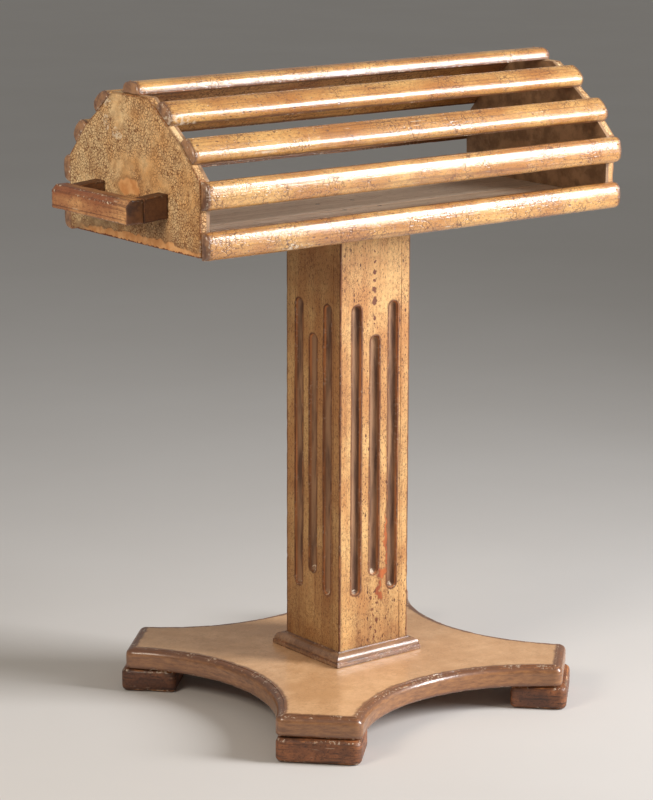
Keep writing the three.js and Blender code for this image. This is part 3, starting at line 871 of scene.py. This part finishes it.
def add_column_board(name, turns, axis, material):
    """One fluted board, built as the front board and then turned about the column's axis. It laps the edge
    of the board at its left, so its own left edge shows beside that board's face."""
    node = f"column_board_{name}"
    points = corners(node, axis, turns * QUARTER)
    low, high = points.min(0), points.max(0)
    length = high[2] - low[2]
    across, up = flute_grid(low[0], high[0], length)
    plan, face = board_plan(low, high, across)
    x, z = np.meshgrid(plan[:, 0], up)
    y = np.broadcast_to(plan[:, 1], x.shape).copy()
    depth, rim, outward = flute_depths(x, z, length)
    snapped = face & (np.abs(rim) < RIM_SNAP)
    x, z = (np.where(snapped, place - rim * outward[..., k], place) for k, place in ((0, x), (1, z)))
    depth = np.where(snapped | ~face, 0, depth)
    arrises = np.array([(low[0], low[1]), (high[0], low[1]), (low[0], high[1])])
    thinner = np.array([0, JOINT_GLAZE, JOINT_GLAZE])
    from_arris = (np.linalg.norm(plan[:, None] - arrises[None], axis=2) + thinner).min(1)
    edges = np.minimum(from_arris[None], np.where(face, np.abs(rim), 1.0))
    edges = np.minimum(edges, np.minimum(z + 0.002, length - z + 0.002))
    rings = np.stack([x, y + depth, z], -1)
    place = Matrix.Translation(axis) @ Matrix.Rotation(turns * QUARTER, 4, "Z")
    board = loft(f"{node}_worn", rings, edges, place @ Matrix.Translation((0, 0, low[2])), 0.7, depth)
    settle(board, "column_paint", material, node)


def plinth_section(reach, height):
    """The moulding's section, reaching out and up from the foot of the column, anticlockwise."""
    bottom = PLINTH_FILLET
    outer, inner = reach - PLINTH_STEP, PLINTH_STEP
    top = height - PLINTH_STEP
    curve = []
    for t in np.linspace(0, 1, 9):
        curve.append(((1 - t * t) * outer + t * t * inner, bottom + (top - bottom) * (2 * t - t * t)))
    return np.array([(0, 0), (reach, 0), (reach, bottom)] + curve + [(inner, height), (0, height)])


def add_plinth(name, turns, axis, material):
    """A mitred length of moulding, built along the front and then turned about the column's axis."""
    node = f"plinth_moulding_{name}"
    points = corners(node, axis, turns * QUARTER)
    low, high = points.min(0), points.max(0)
    inner_half = points[points[:, 1] > high[1] - 1e-5][:, 0].max()
    reach = high[1] - low[1]
    runs = runs_of(plinth_section(reach, high[2] - low[2]), 40)
    sharp = (0, reach - PLINTH_STEP)  # at the column, and where the curve meets the step under it
    radii = [0.0 if min(abs(run[0][0] - at) for at in sharp) < 1e-6 else PLINTH_ARRIS for run in runs]
    counts = point_counts(runs, FINE_STEP)
    profile, gaps = ring(runs, counts, 0.0, radii)
    rings, edges = [], []
    for share in np.linspace(-1, 1, 41):
        half = inner_half + profile[:, 0]
        rings.append(np.stack([share * half, high[1] - profile[:, 0], low[2] + profile[:, 1]], 1))
        edges.append(np.minimum(gaps, (1 - abs(share)) * half + 0.0005))
    place = Matrix.Translation(axis) @ Matrix.Rotation(turns * QUARTER, 4, "Z")
    length = loft(f"{node}_worn", rings, edges, place, 0.5)
    settle(length, "dark_paint", material, node)


def add_column(materials):
    axis = middle_of("base_board")
    axis.z = 0
    for turns, name in enumerate(("front", "right", "back", "left")):
        add_column_board(name, turns, axis, materials["column"])
        add_plinth(name, turns, axis, materials["plinth"])


# -------- rack


def cutter_at(place, axis, radius):
    """A round cutter along an axis."""
    bm = bmesh.new()
    bmesh.ops.create_cone(bm, cap_ends=True, segments=24, radius1=radius, radius2=radius, depth=RECESS_DEPTH)
    turn = (Matrix.Rotation(QUARTER, 4, "Y"), Matrix.Rotation(QUARTER, 4, "X"), Matrix.Identity(4))[axis]
    bm.transform(Matrix.Translation(place) @ turn)
    mesh = bpy.data.meshes.new("cutter")
    bm.to_mesh(mesh)
    bm.free()
    cutter = bpy.data.objects.new("cutter", mesh)
    bpy.context.scene.collection.objects.link(cutter)
    return cutter


def recess(piece, screws, axis):
    """Cuts a blind hole over each screw's head. The heads face along the axis."""
    for screw in screws:
        low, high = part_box(screw)
        place = middle_of(screw)
        place[axis] = high[axis] - RECESS_SHIFT
        width = max((high - low)[(axis + 1) % 3], (high - low)[(axis + 2) % 3])
        cutter = cutter_at(place, axis, width / 2 + RECESS_CLEARANCE)
        hole = piece.modifiers.new("recess", "BOOLEAN")
        hole.object = cutter
        hole.solver = "EXACT"
        cut = bpy.data.meshes.new_from_object(piece.evaluated_get(bpy.context.evaluated_depsgraph_get()))
        piece.modifiers.clear()
        piece.data = cut
        bpy.data.objects.remove(cutter)


def slat_frame(node):
    """The middle of a slat's flat side, the directions across it and out through its crown, and how high the
    crown is, all in the YZ plane."""
    outline = hull(corners(node)[:, 1:])
    run = min(runs_of(outline, 50), key=len)
    middle = (run[0] + run[1]) / 2
    across = unit(run[1] - run[0])
    outward = left_of(across)
    return middle, across, outward, ((outline - middle) @ outward).max()


def nail_head(name, place, outward, material):
    """A small round head with a domed top, hammered flush."""
    bm = bmesh.new()
    angles = [2 * math.pi * k / NAIL_SIDES for k in range(NAIL_SIDES)]
    circle = [(math.cos(a), math.sin(a)) for a in angles]
    rings = []
    for radius, height in NAIL_HEAD:
        if radius == 0:
            rings.append([bm.verts.new((0, 0, height))] * NAIL_SIDES)
        else:
            rings.append([bm.verts.new((radius * x, radius * y, height)) for x, y in circle])
    for upper, lower in zip(rings, rings[1:]):
        for i in range(NAIL_SIDES):
            j = (i + 1) % NAIL_SIDES
            bm.faces.new(list(dict.fromkeys((upper[i], lower[i], lower[j], upper[j]))))
    facing = Vector(outward).to_track_quat("Z", "Y").to_matrix().to_4x4()
    bm.transform(Matrix.Translation(place) @ facing)
    settle(finish_mesh(name, bm), "screw_steel", material)


def add_slat(node, materials):
    slat = bar_along(node, 0, 0.0040, 50, 0.0012, 0.0035, 0.7, level_step=0.009)
    settle(slat, "slat_paint", materials["slat"], node)
    low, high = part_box(node)
    middle, across, outward, thickness = slat_frame(node)
    panel_low, panel_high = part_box("end_panel_left")
    half_panel = (panel_high.x - panel_low.x) / 2  # nails go into the middle of a panel's edge
    for end, x in (("left", low.x + half_panel), ("right", high.x - half_panel)):
        for k, side in enumerate((-NAIL_SPREAD, NAIL_SPREAD)):
            y, z = middle + across * side + outward * (thickness - NAIL_SINK)
            nail_head(f"nail_{node}_{end}_{k + 1}", (x, y, z), (0, *outward), materials["nail"])


def add_rack(materials):
    for side in ("left", "right"):
        node = f"end_panel_{side}"
        panel = bar_along(node, 0, 0.0012, wear=0.8)
        if side == "left":
            recess(panel, [f"handle_screw_{i}" for i in range(1, 5)], 0)
        settle(panel, "panel_paint", materials["panel"], node)
    for side in ("front", "back"):
        node = f"floor_board_{side}"
        board = bar_along(node, 2, 0.0010, corner_radius=0.0012, step=0.012, wear=0.6)
        low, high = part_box(node)
        screws = [f"floor_screw_{i}" for i in range(1, 5)]
        recess(board, [screw for screw in screws if low.y < middle_of(screw).y < high.y], 2)
        settle(board, "bare_wood", materials[f"floor_{side}"], node)
    for node in ["slat_top"] + [f"slat_{side}_{i}" for side in ("front", "back") for i in range(1, 5)]:
        add_slat(node, materials)


def add_handle(materials):
    bar = bar_along("handle_bar", 1, 0.0025, corner_radius=0.0025, step=0.004, wear=1.6)
    settle(bar, "dark_paint", materials["bar"], "handle_bar")
    for side in ("front", "back"):
        node = f"handle_arm_{side}"
        arm = bar_along(node, 1, 0.0015, corner_radius=0.0018, step=0.004)
        settle(arm, "dark_paint", materials["arm"], node)


# -------- finishes


def panel_paint():
    low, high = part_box("end_panel_left")
    face, middle, bottom = low.x, (low.y + high.y) / 2, low.z
    rack_middle = middle_of("end_panel_left", "end_panel_right").x
    return paint(
        "panel_paint", "even", srgb(255, 222, 168), srgb(236, 182, 118), srgb(116, 70, 34),
        crack_size=0.0050, crack=0.95, crack_width=0.18, cover=(0.34, 0.50), breaks=0.25, flecks=0.1,
        speckle=0.2, rim=0.6, rim_width=4.5, gloss=0.46, streaks=0.0, brushed=0.0,
        # painted shadow of the handle, darker towards the panel's bottom
        soil=[(bottom, bottom + 0.09)],
        patches=[((face, middle + 0.010, bottom + 0.089), (0.02, 0.036, 0.016)),
                 ((face, middle - 0.02, bottom + 0.006), (0.02, 0.19, 0.009))],
        # a dark line along the bottom edge: painted shadow under the rounded arris
        dark_spots=[((face, middle, bottom), (0.02, 0.30, 0.003))],
        pale_spots=[((face, middle + 0.075, bottom + 0.228), (0.02, 0.013, 0.013)),
                    ((face, middle + 0.075, bottom + 0.190), (0.02, 0.010, 0.014)),
                    ((face, middle + 0.040, bottom + 0.175), (0.02, 0.020, 0.012))],
        plain=("X", rack_middle, 0.0, rack_middle - face - 0.012, srgb(172, 134, 98), srgb(130, 98, 68)))


def slat_paint():
    low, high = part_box("slat_front_4")
    rack_middle = middle_of("end_panel_left", "end_panel_right").x
    return paint(
        "slat_paint", "x", srgb(236, 182, 104), srgb(190, 124, 54), srgb(92, 50, 22),
        crack_size=0.0080, crack=0.80, crack_width=0.11, cover=(0.42, 0.56), flecks=0.8, speckle=0.45,
        rim=0.85, rim_width=7.5, bare=0.7, chips=0.85, gloss=0.36, coat=1.0, streaks=0.45, brushed=0.9,
        scratches=0.7,
        pale_spots=[((low.x + 0.18, low.y, low.z + 0.006), (0.035, 0.02, 0.008)),
                    ((low.x + 0.02, -0.09, high.z + 0.15), (0.04, 0.04, 0.03))],
        plain=("X", rack_middle, rack_middle - low.x - 0.0022, 1.0, srgb(176, 128, 86), srgb(106, 70, 48)))


def column_pits(x, y, low, high):
    """Pits up the middle of the column's front face: an even row near the foot, and drips near the top."""
    pits = []
    for k in range(9):
        pits.append(((x + 0.008 * math.sin(2.4 * k), y, low + 0.034 + 0.0105 * k), (0.0028, 0.02, 0.0035)))
    drips = ((50, 3), (68, 2.5), (86, 5), (101, 3), (117, 7), (136, 8), (166, 4), (176, 3))
    for depth, size in drips:
        pits.append(((x - 0.002, y, high - depth * MM), (size * MM * 0.8, 0.02, size * MM)))
    return pits


def column_paint():
    low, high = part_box("column_board_front")
    foot, top, face = low.z, high.z, low.y
    middle = middle_of("base_board").x
    left_face = middle + face  # the column is square
    # pale spots in the round lower ends of the flutes, on the front and left faces: painted highlights
    pale = []
    for step, start in ((-1, FLUTE_ENDS[0]), (0, MIDDLE_FLUTE_ENDS[0]), (1, FLUTE_ENDS[0])):
        height = foot + start + 0.004
        pale.append(((middle + step * FLUTE_PITCH, face, height), (0.007, 0.02, 0.005)))
        pale.append(((left_face, step * FLUTE_PITCH, height), (0.02, 0.007, 0.005)))
    return paint(
        "column_paint", "z", srgb(238, 192, 126), srgb(200, 140, 80), srgb(98, 52, 22),
        # the left face is darkened with glaze colour as painted shade
        crack_size=0.0040, crack=0.45, crack_width=0.15, flecks=1.0, speckle=0.75, aged=left_face, rim=0.95,
        rim_width=4.2, chips=0.2, gloss=0.40, streaks=0.22, hollows=True,
        # glaze thickens towards the foot; painted shadow of the rack darkens the top
        soil=[(foot - 0.04, foot + 0.26), (top, top - 0.05)],
        patch_tear=0.030, patch_tones=(srgb(130, 62, 28), srgb(190, 102, 46)),
        patches=[((middle + 0.016, face, foot + 0.147), (0.014, 0.02, 0.011)),
                 ((middle + 0.010, face, foot + 0.118), (0.005, 0.02, 0.018)),
                 ((middle + 0.026, face, foot + 0.205), (0.0035, 0.02, 0.055))],
        dark_spots=column_pits(middle, face, foot, top), pale_spots=pale)


def base_paint():
    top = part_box("base_board")[1].z
    return paint(
        "base_paint", "even", srgb(234, 188, 140), srgb(212, 164, 116), srgb(116, 74, 48),
        crack_size=0.009, crack=0.15, flecks=0.1, speckle=0.15, rim=0.92, rim_width=8, bare=0.3, chips=0.7,
        streaks=0.0, brushed=0.0, coat=0.6, side=(top - QUIRK_HEIGHT, srgb(170, 116, 68), srgb(120, 76, 44)))


def bar_paint():
    low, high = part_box("handle_bar")
    middle, half = (low.y + high.y) / 2, (high.y - low.y) / 2
    return paint(
        "handle_paint", "y", srgb(226, 170, 112), srgb(156, 92, 54), srgb(78, 36, 22),
        crack_size=0.012, crack=0.3, flecks=0.5, speckle=0.5, rim=0.4, rim_width=3.0, bare=0.6, chips=0.95,
        streaks=0.75, coat=0.3, scratches=0.6,
        plain=("Y", middle, half - 0.0025, 1.0, srgb(126, 80, 46), srgb(76, 46, 28)))


def make_materials():
    made = {"panel": panel_paint(), "slat": slat_paint(), "column": column_paint(), "base": base_paint()}
    made["bar"] = bar_paint()
    made["foot"] = paint(
        "foot_paint", "level", srgb(176, 108, 62), srgb(94, 54, 32), srgb(44, 24, 16),
        crack_size=0.008, crack=0.4, flecks=0.5, speckle=0.6, rim=0.35, rim_width=4, bare=0.9, chips=0.9,
        gloss=0.40, streaks=0.75, coat=0.15, scratches=0.35)
    made["plinth"] = paint(
        "plinth_paint", "x", srgb(172, 132, 98), srgb(130, 92, 64), srgb(80, 52, 38),
        crack_size=0.008, crack=0.25, flecks=0.3, rim=0.6, rim_width=2.5, bare=0.4, chips=0.3, gloss=0.30,
        streaks=0.3, coat=0.4)
    made["arm"] = paint(
        "arm_paint", "x", srgb(120, 76, 44), srgb(74, 44, 26), srgb(44, 26, 18),
        crack_size=0.010, crack=0.3, flecks=0.3, rim=0.5, rim_width=4, bare=0.3, chips=0.25, gloss=0.40,
        streaks=0.5)
    # the front board's lighter tones are painted light and the back board's darker, greyer tones painted shade
    made["floor_front"] = bare_wood("floor_front_wood_painted_light", "x", srgb(240, 216, 188), srgb(212, 180, 148), 0.42)
    made["floor_back"] = bare_wood("floor_back_wood_painted_shade", "x", srgb(214, 192, 168), srgb(188, 164, 138), 0.55)
    made["block"] = bare_wood("block_wood", "z", srgb(196, 152, 104), srgb(160, 112, 68))
    made["steel"] = steel("screw_steel")
    made["nail"] = bare_wood("nail_filler", "x", srgb(190, 136, 74), srgb(150, 98, 50), 0.4)
    return made


def dress_hidden(materials):
    """Blocks and dowels of bare wood, and steel screws: these keep their CAD shapes."""
    for name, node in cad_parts.items():
        if node.hide_render:
            continue
        material = materials["steel" if "screw" in name else "block"]
        node.data.materials.clear()
        node.data.materials.append(material)


add_camera()
add_studio()
finishes = make_materials()
add_base(finishes)
add_column(finishes)
add_rack(finishes)
add_handle(finishes)
dress_hidden(finishes)

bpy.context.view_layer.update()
